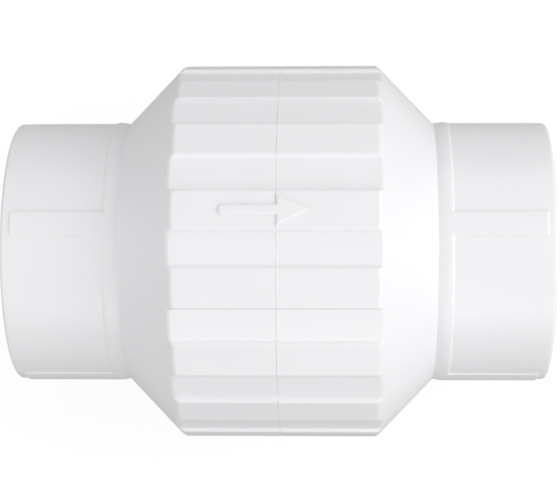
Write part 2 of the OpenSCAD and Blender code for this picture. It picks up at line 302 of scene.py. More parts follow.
def start_ring(name, r):
    """Starts a piece as a ring whose vertices stand at the columns of every sector."""
    bpy.ops.object.select_all(action="DESELECT")
    bpy.ops.mesh.primitive_plane_add(size=r * MM, location=(0, 0, 0))
    piece = named(name)
    open_edit(piece)
    bpy.ops.mesh.merge(type="CENTER")
    first = math.radians(columns[0])
    bpy.ops.transform.translate(value=(0, r * MM * math.sin(first), r * MM * math.cos(first)))
    for a, b in zip(columns, columns[1:] + [sector / 2]):
        bpy.ops.mesh.spin(steps=1, angle=math.radians(b - a), center=(0, 0, 0), axis=(-1, 0, 0))
    bpy.ops.mesh.select_all(action="SELECT")
    bpy.ops.mesh.spin(steps=pad_count, dupli=True, angle=2 * math.pi, center=(0, 0, 0), axis=(-1, 0, 0))
    bpy.ops.mesh.select_all(action="SELECT")
    bpy.ops.mesh.remove_doubles(threshold=1e-6)
    bpy.ops.mesh.select_all(action="SELECT")
    return piece


def place_ring(piece, station, radius):
    """Moves the selected ring: vertices that make the same move make it together, by the transform tools."""
    def select(members):
        """Selects these vertices of the ring, and none of its others."""
        mesh = bmesh.from_edit_mesh(piece.data)
        mesh.verts.ensure_lookup_table()
        for i in ring:
            mesh.verts[i].select_set(i in members)
        mesh.select_flush_mode()

    mesh = bmesh.from_edit_mesh(piece.data)
    mesh.verts.ensure_lookup_table()
    ring = [v.index for v in mesh.verts if v.select]
    groups = {}
    for i in ring:
        co = mesh.verts[i].co
        angle = angle_of(co)
        here = (round(co.x / MM, 4), round(math.hypot(co.y, co.z) / MM, 4))
        key = (round(station(angle), 4), round(radius(angle), 4), here)
        groups.setdefault(key, []).append(i)
    for (x, r, (from_x, from_r)), members in groups.items():
        select(members)
        k = r / from_r
        bpy.ops.transform.resize(value=(1, k, k), center_override=(from_x * MM, 0, 0))
        bpy.ops.transform.translate(value=((x - from_x) * MM, 0, 0))
    select(ring)


def pull_ring(piece, station, radius):
    """Extrudes the selected ring and places the new one, by numbers or by rules of the angle."""
    bpy.ops.mesh.extrude_region_move(TRANSFORM_OT_translate={"value": (0, 0, 0)})
    place_ring(piece, station if callable(station) else lambda a: station,
               radius if callable(radius) else lambda a: radius)


# %% [markdown]
# ## Keys on the sockets
#
# Four raised strips run along each socket, from the collar almost to the rim: narrow ones on top and
# underneath, and wider ones on the two sides. They are as high as the collar. Instead of extruding them, the
# barrel's rings carry them: at the columns of a key the ring keeps the collar's radius, and the next column
# on either side is on the barrel, so the strip has the soft flank that a mould gives.


# %% Rules for the barrel and its keys
def on_key(angle):
    """Is this angle on one of the four keys? The wide ones are on the two sides."""
    turn = angle % 180
    upright = min(turn, 180 - turn) <= key_edge + 0.01
    sideways = abs(turn - 90) <= side_key_edge + 0.01
    return upright or sideways


def keyed(angle):
    """Radius of the barrel at an angle, with its keys."""
    return collar_r if on_key(angle) else barrel_r


print("key edges at", round(key_edge, 2), "and", round(side_key_edge, 2), "degrees")

# %% [markdown]
# ## Edge weights
#
# One Bevel modifier rounds all edges of a half at once, and each edge's bevel weight says how much. The
# edges are found by where they lie: on the ring where the band turns into the cone, along the keys, round
# the rim and so on. The tool that sets a weight by hand in edit mode sets it here too.


# %% Helpers for edges
def pick_edges(piece, test):
    """Selects the edges that pass the test, in edge mode, where an edge leaves its neighbours alone."""
    bpy.ops.mesh.select_mode(type="EDGE")
    bpy.ops.mesh.select_all(action="DESELECT")
    mesh = bmesh.from_edit_mesh(piece.data)
    found = [e for e in mesh.edges if test(*(v.co / MM for v in e.verts))]
    for e in found:
        e.select_set(True)
    bmesh.update_edit_mesh(piece.data)
    return len(found)


def weigh(piece, weight, test):
    """Gives a bevel weight to the edges that pass the test."""
    def round_test(a, b):
        """The test, on an edge's two ends as (station, radius, angle)."""
        return test(*((abs(p.x), math.hypot(p.y, p.z), angle_of(p)) for p in (a, b)))

    found = pick_edges(piece, round_test)
    bpy.ops.transform.edge_bevelweight(value=weight)
    bpy.ops.mesh.select_mode(type="VERT")
    print("weight", weight, "on", found, "edges")


def near(a, b, room=0.02):
    """Are two sizes the same, apart from a little room?"""
    return abs(a - b) < room


# %% [markdown]
# ## One half of the body
#
# The halves share everything outside. The ring starts at the joint, a little small so that a fine V-groove
# is left where the halves meet. It runs along the band and down the cone to the collar, which falls a little
# towards the cone's foot and has a rounded crown at its other end. Then it runs over the barrel with its
# keys to the rim, and back inside along the list of stations and radii that each half brings. The cone is
# exact: a pad is higher than a strip, so it meets the cone earlier, and its end steps back by itself.

# %% Function that models a half
seam_depth, seam_width = 0.17, 0.14
crown_end, crown_run, crown_land = collar_end + 0.21, 1.0, 0.25
fall_depth, fall_end = 0.36, crown_end - crown_run - crown_land
fall_start = cone_foot + fall_depth * cone_run
key_stop, key_ramp = rim - 1.9, 0.3


def cone_station(angle):
    """Station at which the band's outline meets the cone."""
    return band_end + (floor_r - band_radius(angle)) * cone_run


def crowned(share):
    """Rule for the collar's edge, which curves down to the barrel, except where a key runs into it."""
    return lambda angle: collar_r if on_key(angle) else collar_r - (collar_r - barrel_r) * share ** 3


def weigh_edges(piece, inside):
    """Says how round each kind of edge of a half becomes, as a share of the widest bevel."""
    def band_end_ring(a, b):
        """The line where the band turns into the cone."""
        return all(p[1] > floor_r - 2 * crease_depth and near(p[0], cone_station(p[2])) for p in (a, b))

    def key_side(a, b):
        """The two long edges of a key, beyond the collar's crown."""
        if not near(a[2], b[2]) or a[1] < barrel_r - 0.05:
            return False
        along = min(a[0], b[0]) > crown_end - 0.15 and max(a[0], b[0]) < rim - 1
        return along and on_key(a[2]) and not (on_key(a[2] + 0.9) and on_key(a[2] - 0.9))

    def key_front(a, b):
        """The edge where a key begins to slope down, short of the rim."""
        return near(a[0], key_stop - key_ramp) and near(b[0], a[0]) and on_key(a[2]) and on_key(b[2])

    def rim_ring(a, b):
        """The outer edge of the rim."""
        return all(near(p[0], rim) and near(p[1], barrel_r) for p in (a, b))

    def inner_ring(a, b):
        """Every corner of the outline inside."""
        same = near(a[0], b[0]) and near(a[1], b[1]) and not near(a[2], b[2], 0.1)
        return same and any(near(a[0], abs(x)) and near(a[1], r) for x, r in inside)

    for weight, kind in ((0.75, band_end_ring), (0.15, key_side), (0.15, key_front), (1.0, rim_ring),
                         (0.15, inner_ring)):
        weigh(piece, weight, kind)


def half(name, side, inside):
    """Models one half. side is -1 for the inlet half and 1 for the outlet half."""
    piece = start_ring(name, floor_r)
    place_ring(piece, lambda a: 0, lambda a: band_radius(a) - seam_depth)
    pull_ring(piece, seam_width, band_radius)
    pull_ring(piece, cone_station, band_radius)
    for share in (1, 0.8, 0.6, 0.4, 0.2, 0):
        pull_ring(piece, fall_end - (fall_end - fall_start) * share, collar_r - fall_depth * share ** 1.6)
    for share in (0, 0.35, 0.6, 0.8, 0.9, 1):
        pull_ring(piece, crown_end - crown_run * (1 - share), crowned(share))
    pull_ring(piece, key_stop - key_ramp, keyed)
    pull_ring(piece, key_stop, barrel_r)
    pull_ring(piece, rim, barrel_r)
    last = (rim, barrel_r)
    for corner in inside:
        extrude_ring(*corner, *last)
        last = corner
    bridge_ends()
    weigh_edges(piece, inside)
    if side < 0:
        bpy.ops.mesh.select_all(action="SELECT")
        bpy.ops.transform.resize(value=(-1, 1, 1), center_override=(0, 0, 0))
    return finish_edit(piece)


# %% [markdown]
# ## The inlet half
#
# Inside, the inlet half has the socket with its pipe stop, the throat, and the seat on a short nozzle that
# stands in a pocket. The wall of the chamber leads back to the joint, where a hollow tongue reaches
# into the other half. The list walks along that outline from the rim's chamfer to the tongue. It starts
# with the corners that the two halves share.

# %% Model the inlet half
throat_r = 40.9 / 2
mouth_chamfer = 0.8
socket_corners = [(rim, socket_r + mouth_chamfer), (rim - mouth_chamfer, socket_r), (stop, socket_r),
                  (stop, throat_r)]

band_wall, cone_wall, stop_wall = 4.6, 4.6, 5
chamber_r = floor_r - band_wall
cone_shift = cone_wall / math.sin(math.radians(cone_slope))
chamber_end = band_end - cone_shift + (floor_r - chamber_r) * cone_run
pocket_floor = stop - stop_wall
pocket_r = floor_r - (pocket_floor - band_end + cone_shift) / cone_run

seat_x, seat_land, nozzle_spread = 14, 1.6, 3.3
nozzle_r = throat_r + seat_land
tongue_length, tongue_wall, weld_gap = 4, 2.1, 0.1
tongue_r = chamber_r + tongue_wall
inlet_inside = socket_corners + [(seat_x, throat_r), (seat_x, nozzle_r),
                                 (pocket_floor, nozzle_r + nozzle_spread), (pocket_floor, pocket_r),
                                 (chamber_end, chamber_r), (-tongue_length, chamber_r),
                                 (-tongue_length, tongue_r), (0, tongue_r)]
inlet = half("inlet_half", -1, inlet_inside)
print("inlet half:", len(inlet.data.polygons), "faces before its edges are rounded")

# %% [markdown]
# ## The outlet half
#
# The outlet half has the groove for the tongue, a funnel that closes on the seat of the guide spider, and
# the ledge that the spider rests on, with the throat and the socket behind it.

# %% Model the outlet half
spider_r, spider_gap, spider_ring_length = 26.9, 0.1, 5
funnel_start = 15.5
ledge = stop - 3
ring_front = ledge - spider_ring_length
spider_seat_r = spider_r + spider_gap
groove_end, groove_r = tongue_length + weld_gap, tongue_r + weld_gap
outlet_inside = socket_corners + [(ledge, throat_r), (ledge, spider_seat_r), (ring_front, spider_seat_r),
                                  (funnel_start, chamber_r), (groove_end, chamber_r),
                                  (groove_end, groove_r), (0, groove_r)]
outlet = half("outlet_half", 1, outlet_inside)
print("outlet half:", len(outlet.data.polygons), "faces before its edges are rounded")

# %% [markdown]
# ## The flow arrow
#
# A plain arrow stands 0.5 mm proud of the top pad and points with the flow. Its shaft is on the inlet half
# and its head on the outlet half. It is modelled whole: a cube whose free end is rounded by beveling two
# upright edges, a cylinder with three sides, which is a triangle, and a Boolean union of the two. A
# three-sided cylinder of radius 1 is 1.5 long and the square root of 3 wide, so its scale follows from the
# size that is wanted. One bevel round the top gives the soft flanks of a moulded mark. Then a copy is made,
# and bisect cuts away what is beyond the joint from each.


# %% Helpers that join pieces
def melt(piece, *others, way="UNION"):
    """Joins other pieces into this one, or cuts them out with the way DIFFERENCE, and removes them."""
    for other in others:
        boolean = piece.modifiers.new("Melt in", "BOOLEAN")
        boolean.operation = way
        boolean.solver = "EXACT"
        boolean.object = other
    apply_all(piece)
    for other in others:
        bpy.data.objects.remove(other)
    open_edit(piece)
    bpy.ops.mesh.remove_doubles(threshold=1e-6)
    finish_edit(piece)


def block(name, low, high):
    """A cube set between two corners, in millimetres, left in edit mode."""
    bpy.ops.object.select_all(action="DESELECT")
    bpy.ops.mesh.primitive_cube_add(size=1)
    bpy.ops.transform.resize(value=[(b - a) * MM for a, b in zip(low, high)])
    bpy.ops.transform.translate(value=[(a + b) / 2 * MM for a, b in zip(low, high)])
    piece = named(name)
    open_edit(piece)
    return piece


# %% Model the arrow
relief, sunk, top_round = 0.5, 0.35, 0.75
shaft_length, shaft_width, end_share = 12.1, 2.5, 0.42
head_length, head_width, head_start = 7.7, 7.0, 0.06
arrow_top, arrow_foot = pad_top + relief, pad_top - sunk

shaft = block("arrow_shaft", (-shaft_length, -shaft_width / 2, arrow_foot), (1, shaft_width / 2, arrow_top))
pick_edges(shaft, lambda a, b: max(a.x, b.x) < -1 and abs(a.z - b.z) > relief)
bpy.ops.mesh.bevel(offset=shaft_width * end_share * MM, segments=6, affect="EDGES")
finish_edit(shaft)

bpy.ops.object.select_all(action="DESELECT")
bpy.ops.mesh.primitive_cylinder_add(vertices=3, radius=1, depth=1, rotation=(0, 0, math.radians(-90)))
head = named("arrow_head")
bpy.ops.transform.resize(value=(head_length / 1.5 * MM, head_width / math.sqrt(3) * MM,
                                (arrow_top - arrow_foot) * MM))
bpy.ops.transform.translate(value=((head_start + head_length / 3) * MM, 0,
                                   (arrow_top + arrow_foot) / 2 * MM))
bpy.ops.object.transform_apply(location=True, rotation=True, scale=True)
print("head from", [round(min(v.co[i] for v in head.data.vertices) / MM, 2) for i in (0, 1, 2)])

melt(head, shaft)
open_edit(head)
bpy.ops.mesh.dissolve_limited(angle_limit=math.radians(1))
print("edges round the arrow's top:", pick_edges(head, lambda a, b: min(a.z, b.z) > arrow_top - 0.01))
bpy.ops.mesh.bevel(offset=top_round * MM, segments=6, affect="EDGES")
bpy.ops.mesh.select_mode(type="VERT")
finish_edit(head)

only(head)
bpy.ops.object.duplicate()
shaft = bpy.context.object
for piece, way in ((head, -1), (shaft, 1)):
    open_edit(piece)
    bpy.ops.mesh.bisect(plane_co=(0, 0, 0), plane_no=(way, 0, 0), clear_outer=True, use_fill=True,
                        threshold=1e-7)
    finish_edit(piece)
    print(piece.name, "has", len(piece.data.polygons), "faces")

# %% [markdown]
# ## Rounded edges and the arrow joined on
#
# The bevel's width is 1.2 mm times an edge's weight: 1.2 mm round the rim, 0.9 mm where the band turns into
# the cone, and just under 0.2 mm along the keys and inside. The arrow is rounded already, so it only gets
# smooth shading before it is joined to its half.

# %% Round the halves and join the arrow
widest_round = 1.2
for piece, mark in ((inlet, shaft), (outlet, head)):
    soften(piece, widest_round, segments=4, by="WEIGHT")
    only(mark)
    bpy.ops.object.shade_smooth_by_angle(angle=math.radians(35))
    only(mark, piece)
    bpy.ops.object.join()
    print(piece.name, "has", len(piece.data.polygons), "faces")

# %% [markdown]
# ## Pieces in the frame
#
# A finished piece takes the place of its CAD node, which is hidden, and rides the body that carries the
# node. Its own materials are cleared. The finishes are made further down, so for now each piece only notes
# the name of its own.


# %% Put the halves in the frame
def dress(piece, node, body, slot):
    """Hides the CAD node that a piece stands for, hangs the piece on the body that carries it, and notes
    which finish it takes.
    """
    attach(piece, body)
    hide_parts(node)
    piece.data.materials.clear()
    finish_of[piece] = slot


finish_of = {}
dress(inlet, "inlet_body", "housing", "white_pvc")
dress(outlet, "outlet_body", "housing", "white_pvc_outlet")
print("dressed:", [piece.name for piece in finish_of])

# %% [markdown]
# ## The way along the axis
#
# The inner pieces stand one behind the other on the axis, so their stations follow from each other: the seal
# lies on the seat, the disc and the retainer hold it from both sides, the screw's head is in front, and the
# spring stands between the disc and a washer on the spider's hub. The gaps say how the pieces fit: pressed
# in, sliding, or loose.

# %% Sizes of the inner pieces
press_gap, slide_gap, seal_gap, screw_gap, spring_gap = 0.03, 0.05, 0.15, 0.25, 0.1
lift, stop_gap, boss_gap = 10, 0.3, 0.3
stem_r, screw_r, washer_r, washer_t = 4, 2.5, 6, 0.8
hub_r, hub_length, bush_wall, boss_wall = 10.5, 13, 2, 2.5

seal_front, seal_t, disc_t, retainer_t = -seat_x, 2.5, 4, 3
disc_front = seal_front + seal_t
disc_back = disc_front + disc_t
retainer_front = seal_front - retainer_t
head_seat = retainer_front - washer_t
hub_front = ledge - hub_length
washer_front = hub_front - washer_t
boss_end = hub_front - stop_gap - lift

bush_bore_r = stem_r + slide_gap
bush_r = bush_bore_r + bush_wall
boss_r = stem_r + press_gap + boss_wall
screw_bore_r = screw_r + screw_gap
print("the disc's boss ends", round(hub_front - boss_end, 2), "mm before the hub")

# %% [markdown]
# ## Bush, washers, stem and seal
#
# These small pieces are nothing but an outline turned round the axis. The outline lists the corners, and
# the bevel then breaks each of them: wide on the moulded bush, narrow on the stamped washers, and in
# between on the ground stem, whose ends are also chamfered so that it slips into its holes.


# %% Model the plain turned pieces
def tube(name, front, back, bore_r, outer_r, width, segments=3):
    """A plain tube or ring between two stations."""
    corners = [(front, bore_r), (front, outer_r), (back, outer_r), (back, bore_r)]
    return turned(name, corners, width=width, segments=segments)


bush = tube("bush", hub_front, ledge, bush_bore_r, bush_r, 0.3)
dress(bush, "stem_bush", "housing", "bush_plastic")

support = tube("spring_support", washer_front, hub_front, boss_r + boss_gap, hub_r - boss_gap, 0.16)
dress(support, "spring_washer", "housing", "washer_steel")

washer = tube("small_washer", head_seat, retainer_front, screw_bore_r, washer_r, 0.16)
dress(washer, "screw_washer", "poppet", "washer_steel")

stem_chamfer, stem_end_gap, thread_end = 0.6, 3, 1.5
stem_end, thread_r = ledge - stem_end_gap, screw_r + press_gap
stem = turned("stem", [(thread_end, thread_r), (disc_front, thread_r), (disc_front, stem_r - stem_chamfer),
                       (disc_front + stem_chamfer, stem_r), (stem_end - stem_chamfer, stem_r),
                       (stem_end, stem_r - stem_chamfer)], width=0.12, ends="points")
dress(stem, "guide_stem", "poppet", "stem_steel")

spigot_r, seal_overlap = 9, 1.4
seal_r = nozzle_r + seal_overlap
seal = tube("seal", seal_front, disc_front, spigot_r + seal_gap, seal_r, 0.3, segments=4)
dress(seal, "seal_ring", "poppet", "seal_rubber")

# %% [markdown]
# ## The domed retainer
#
# The plate that clamps the seal faces the water, so its front is domed: the outline follows a quarter of an
# ellipse in twelve steps. The steps turn by less than the bevel's limit, so only the real corners are
# rounded, and smooth shading hides the steps.

# %% Model the retainer
retainer_r, retainer_edge, retainer_land, dome_steps = throat_r - 2.9, 1.2, 1, 12
dome_start, dome_foot_r = seal_front - retainer_edge, washer_r + retainer_land
dome = []
for k in range(dome_steps + 1):
    a = math.radians(k * 90 / dome_steps)
    dome.append((dome_start - (retainer_t - retainer_edge) * math.sin(a),
                 dome_foot_r + (retainer_r - dome_foot_r) * math.cos(a)))
retainer = turned("retainer", [(disc_front, screw_bore_r), (disc_front, spigot_r), (seal_front, spigot_r),
                               (seal_front, retainer_r)] + dome + [(retainer_front, screw_bore_r)],
                  width=0.25)
dress(retainer, "seal_retainer", "poppet", "poppet_pvc")

# %% [markdown]
# ## The disc and its ribs
#
# The disc is turned: a rim that shields the edge of the seal, and a boss that holds the stem. The eight ribs
# behind it start as one cube. It is cut by a bisect where the rib begins to slope, its far top edge is
# pushed down, and spin with duplicates sets seven more round the axis. Disc and ribs are bevelled while
# they are apart, and then a Boolean modifier melts them together. A bevel after the Boolean would be cut
# down to almost nothing by the short edges that a Boolean leaves where the outlines cross.


# %% Helper that repeats a shape
def repeat_round(count):
    """Sets copies of the whole piece round the X axis, until there are as many as count."""
    bpy.ops.mesh.select_all(action="SELECT")
    bpy.ops.mesh.spin(steps=count - 1, dupli=True, angle=2 * math.pi * (count - 1) / count,
                      center=(0, 0, 0), axis=(-1, 0, 0))


# %% Model the disc
disc_rim, disc_chamfer, seal_proud = 1.3, 2, 0.8
pocket_edge_r = seal_r + seal_gap
disc_r, disc_bore_r = pocket_edge_r + disc_rim, stem_r + press_gap
disc = turned("disc", [(disc_front, disc_bore_r), (disc_front, pocket_edge_r),
                       (seal_front + seal_proud, pocket_edge_r), (seal_front + seal_proud, disc_r),
                       (disc_back - disc_chamfer, disc_r), (disc_back, disc_r - disc_chamfer),
                       (disc_back, boss_r), (boss_end, boss_r), (boss_end, disc_bore_r)], width=0.3)

spring_r, wire_r = 9.0, 0.6
rib_count, rib_t, rib_h, rib_sunk, rib_inset, rib_slope = 8, 1.6, 2.6, 0.5, 2.5, 12.5
rib_inner_r, rib_outer_r, rib_top = spring_r + wire_r + boss_gap, disc_r - rib_inset, disc_back + rib_h
ribs = block("ribs", (disc_back - rib_sunk, -rib_t / 2, rib_inner_r), (rib_top, rib_t / 2, rib_outer_r))
bpy.ops.mesh.bisect(plane_co=(0, 0, rib_slope * MM), plane_no=(0, 0, 1))
pick_points(ribs, lambda p: p.x > rib_top - 0.1 and p.z > rib_outer_r - 0.1)
bpy.ops.transform.translate(value=(-rib_h * MM, 0, 0))
repeat_round(rib_count)
finish_edit(ribs)
soften(ribs, 0.25)
melt(disc, ribs)
smooth(disc)
dress(disc, "poppet_disc", "poppet", "poppet_pvc")
print("disc has", len(disc.data.polygons), "faces")

# %% [markdown]
# ## The guide spider
#
# The hub stands in the middle of the flow on four vanes, which the water passes with little loss because
# they are thin and their front edges slope back. Each vane is again a cube with one edge moved. It reaches
# into the hub and the ring, past their rounded edges, and all three are melted together.

# %% Model the spider
vane_count, vane_t, vane_setback, vane_slope = 4, 2.4, 2.4, 7
vane_front, vane_inner_r, vane_outer_r = hub_front + vane_setback, hub_r - 2, spider_r - 1.4
spider = tube("spider", hub_front, ledge, bush_r + press_gap, hub_r, 0.45)
ring = tube("spider_ring", ring_front, ledge, spider_r - 3.2, spider_r, 0.45)
vanes = block("vanes", (vane_front, -vane_t / 2, vane_inner_r), (ledge, vane_t / 2, vane_outer_r))
pick_points(vanes, lambda p: p.x < vane_front + 0.1 and p.z > vane_outer_r - 0.1)
bpy.ops.transform.translate(value=(vane_slope * MM, 0, 0))
repeat_round(vane_count)
finish_edit(vanes)
vanes.rotation_euler = (math.pi / vane_count, 0, 0)
bpy.ops.object.transform_apply(location=False, rotation=True, scale=False)
soften(vanes, 0.4)
melt(spider, ring, vanes)
smooth(spider)
dress(spider, "guide_spider", "housing", "inner_pvc")
print("spider has", len(spider.data.polygons), "faces")

# %% [markdown]
# ## The screw
#
# A turned head and shank, with the hexagon socket cut by a Boolean difference. The cutter is a cylinder with
# six sides, 4 mm across its flats, which starts a millimetre in front of the head.

# %% Model the screw
head_r, head_h, drive, drive_depth, cutter_past = 4.75, 3.2, 4, 1.9, 1
head_front, screw_tip = head_seat - head_h, disc_front + 10.5
tip_run, tip_drop = 0.8, 0.6
screw = turned("screw", [(head_front, head_r), (head_seat, head_r), (head_seat, screw_r),
                         (screw_tip - tip_run, screw_r), (screw_tip, screw_r - tip_drop)],
               width=0.3, ends="points")
bpy.ops.object.select_all(action="DESELECT")
bpy.ops.mesh.primitive_cylinder_add(vertices=6, radius=drive / 2 / math.cos(math.radians(30)) * MM,
                                    depth=(drive_depth + cutter_past) * MM,
                                    location=((head_front + (drive_depth - cutter_past) / 2) * MM, 0, 0),
                                    rotation=(0, math.pi / 2, 0))
melt(screw, bpy.context.object, way="DIFFERENCE")
smooth(screw)
dress(screw, "retainer_screw", "poppet", "screw_steel")
print("screw has", len(screw.data.polygons), "faces")

# %% [markdown]
# ## The spring
#
# The wire starts as a small circle beside the axis. Each step extrudes it, turns the new ring about the axis
# and shifts it along, which is how a spring machine winds. The first and the last turn lie close, as on
# every compression spring, and both ends are ground flat: the points that stick out beyond the two planes
# that the spring stands between are scaled to nothing along X, which lays them on the plane.

# %% Model the spring
spring_front, spring_back = disc_back + spring_gap, washer_front - spring_gap
steps_a_turn, turns = 28, 8
first_rise, close_rise = 0.25, 1.25


def wire_at(turn):
    """Station of the middle of the wire after so many turns."""
    if turn > turns / 2:
        return spring_front + spring_back - wire_at(turns - turn)
    start = spring_front + first_rise
    if turn < 1:
        return start + close_rise * turn
    half_way = (spring_front + spring_back) / 2
    return start + close_rise + (half_way - start - close_rise) * (turn - 1) / (turns / 2 - 1)


bpy.ops.object.select_all(action="DESELECT")
bpy.ops.mesh.primitive_circle_add(vertices=16, radius=wire_r * MM, rotation=(math.pi / 2, 0, 0),
                                  location=(wire_at(0) * MM, 0, spring_r * MM))
spring = named("spring")
open_edit(spring)
bpy.ops.mesh.edge_face_add()
for step in range(turns * steps_a_turn):
    shift = wire_at((step + 1) / steps_a_turn) - wire_at(step / steps_a_turn)
    bpy.ops.mesh.extrude_region_move(TRANSFORM_OT_translate={"value": (shift * MM, 0, 0)})
    bpy.ops.transform.rotate(value=math.radians(360 / steps_a_turn), orient_axis="X",
                             center_override=(0, 0, 0))
for x, way in ((spring_front, -1), (spring_back, 1)):
    pick_points(spring, lambda p: (p.x - x) * way > 0)
    bpy.ops.transform.resize(value=(0, 1, 1), center_override=(x * MM, 0, 0))
finish_edit(spring)
bpy.ops.object.shade_smooth_by_angle(angle=math.radians(40))
dress(spring, "closing_spring", "housing", "spring_steel")
longest = spring_back - spring_front
spring_back * MM
(longest - lift) / longest
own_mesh(spring)
print("spring has", len(spring.data.polygons), "faces, from",
      round(min(v.co.x for v in spring.data.vertices) / MM, 3), "to",
      round(max(v.co.x for v in spring.data.vertices) / MM, 3))

# %% [markdown]
# ## Node trees as sums
#
# A finish is a tree of nodes, and most of them are small sums: a noise times a strength plus a level. A
# Wire stands for an output socket and knows +, * and **, so that such a sum is written as one.
# Finish holds the tree, and its node method adds any other kind of node: first its settings, because they
# decide which sockets it has, then its sockets, each with a value or a Wire.


# %% Classes for node trees
class Wire:
    """An output socket. Each operator adds a Math node and gives that node's output."""

    def __init__(self, owner, socket):
        self.owner, self.socket = owner, socket

    def math(self, operation, a, b):
        """The Math node behind each operator."""
        return self.owner.node("ShaderNodeMath", {"operation": operation}, {0: a, 1: b})

    def __add__(self, other):
        return self.math("ADD", self, other)

    def __radd__(self, other):
        return self.math("ADD", other, self)

    def __mul__(self, other):
        return self.math("MULTIPLY", self, other)

    def __rmul__(self, other):
        return self.math("MULTIPLY", other, self)

    def __pow__(self, other):
        return self.math("POWER", self, other)

    def __rpow__(self, other):
        return self.math("POWER", other, self)


class Tree:
    """A node tree, of a material or of the world."""

    def __init__(self, tree):
        self.tree = tree

    def put(self, socket, value):
        """Links a Wire to a socket, or sets the socket to a value."""
        if isinstance(value, Wire):
            self.tree.links.new(value.socket, socket)
        else:
            socket.default_value = value

    def node(self, kind, settings, sockets, out=0):
        """Adds a node of any kind, and gives one of its outputs."""
        node = self.tree.nodes.new(kind)
        for setting, value in settings.items():
            setattr(node, setting, value)
        for socket, value in sockets.items():
            self.put(node.inputs[socket], value)
        return Wire(self, node.outputs[out])

    def seen(self, gloss_share):
        """1 for the camera's rays and for those through glass, and a share of it for those off gloss."""
        rays = self.node("ShaderNodeLightPath", {}, {})
        camera, gloss, glass = (Wire(self, rays.socket.node.outputs[name])
                                for name in ("Is Camera Ray", "Is Glossy Ray", "Is Transmission Ray"))
        return camera + gloss * gloss_share + glass


class Finish(Tree):
    """A material with its node tree. Places are the piece's own coordinates, in metres."""

    def __init__(self, name, **fixed):
        self.material = bpy.data.materials.new(name)
        self.material.use_nodes = True
        super().__init__(self.material.node_tree)
        self.shader = self.tree.nodes["Principled BSDF"]
        self.place = self.node("ShaderNodeTexCoord", {}, {}, "Object")
        for socket, value in fixed.items():
            self.put(self.shader.inputs[socket.replace("_", " ")], value)

    def shade(self, **varied):
        """Links or sets sockets of the Principled BSDF."""
        for socket, value in varied.items():
            self.put(self.shader.inputs[socket.replace("_", " ")], value)

    def noise(self, at, size, detail=2.0):
        """A noise from 0 to 1 whose spots are about so many millimetres wide."""
        sockets = {"Vector": at, "Scale": 1 / (size * MM), "Detail": detail}
        return self.node("ShaderNodeTexNoise", {}, sockets)

    def mix(self, share, first, second):
        """A colour between two others."""
        return self.node("ShaderNodeMix", {"data_type": "RGBA"}, {0: share, 6: first, 7: second}, 2)

    def bump(self, height, depth, below=None):
        """Tilts the normal as if the surface stood out by depth, in millimetres, where height is 1."""
        sockets = {"Height": height, "Distance": depth * MM, "Strength": 1.0}
        if below:
            sockets["Normal"] = below
        return self.node("ShaderNodeBump", {}, sockets)

    def rings(self):
        """Coordinates that are the same all the way round the axis: distance along it and from it."""
        parts = self.node("ShaderNodeSeparateXYZ", {}, {0: self.place})
        x, y, z = (Wire(self, s) for s in parts.socket.node.outputs)
        return self.node("ShaderNodeCombineXYZ", {}, {0: x, 1: (y * y + z * z) ** 0.5})


# %% [markdown]
# ## Moulded plastic
#
# Fresh PVC is an even white, but it is never a flat colour. Its tone drifts a little over centimetres, where
# the melt flowed, its gloss changes where the mould was polished more or less, and the surface has a
# fine grain and long shallow waves. The drift is a mix of two near colours, the gloss a sum of two noises
# and the relief two bumps, one upon the other.


# %% Moulded plastics
def shaded(colour, k):
    """A colour, a little lighter or darker."""
    return [min(1, c * k) for c in colour] + [1]


def moulded(name, colour, gloss=0.4, drift=0.02, grain=0.004, waves=0.09):
    """Moulded plastic. gloss is its roughness, drift its change of tone, grain and waves are millimetres."""
    f = Finish(name, IOR=1.53)
    broad = f.noise(f.place, 26, 3)
    cloud = f.noise(f.place, 7)
    fine = f.noise(f.place, 0.35)
    tone = broad * 0.7 + cloud * 0.3
    f.shade(Base_Color=f.mix(tone, shaded(colour, 1 - drift), shaded(colour, 1 + drift)),
            Roughness=gloss - 0.06 + cloud * 0.08 + fine * 0.05,
            Normal=f.bump(fine, grain, f.bump(broad, waves)))
    return f.material


finishes = {
    "white_pvc": moulded("white_pvc", (0.843, 0.843, 0.861)),
    "white_pvc_outlet": moulded("white_pvc_outlet", (0.848, 0.848, 0.865), gloss=0.38),
    "inner_pvc": moulded("inner_pvc", (0.8, 0.81, 0.82), drift=0.03, grain=0.006),
    "poppet_pvc": moulded("poppet_pvc", (0.5, 0.52, 0.54), gloss=0.45, drift=0.05, grain=0.006),
}
print("moulded finishes:", sorted(finishes))

# %% [markdown]
# ## Turned acetal
#
# The bush is cut from a rod, so fine rings run round it. They come from a noise that only knows how far a
# point is along the axis and from it, and is therefore the same all the way round. Acetal is waxy: it has a
# soft second gloss, which is the shader's coat.

# %% Turned acetal
f = Finish("bush_plastic", IOR=1.48, Coat_Weight=0.25, Coat_Roughness=0.3)
cuts = f.noise(f.rings(), 0.12)
f.shade(Base_Color=f.mix(f.noise(f.place, 5), (0.84, 0.815, 0.74, 1), (0.88, 0.86, 0.8, 1)),
        Roughness=0.38 + cuts * 0.12,
        Normal=f.bump(cuts, 0.004))
finishes["bush_plastic"] = f.material
print("nodes in the acetal:", len(f.tree.nodes))

# %% [markdown]
# ## Rubber
#
# The seal is black rubber with a faint grey bloom in patches, where wax has come to the surface, and a fine
# matt grain from its mould.

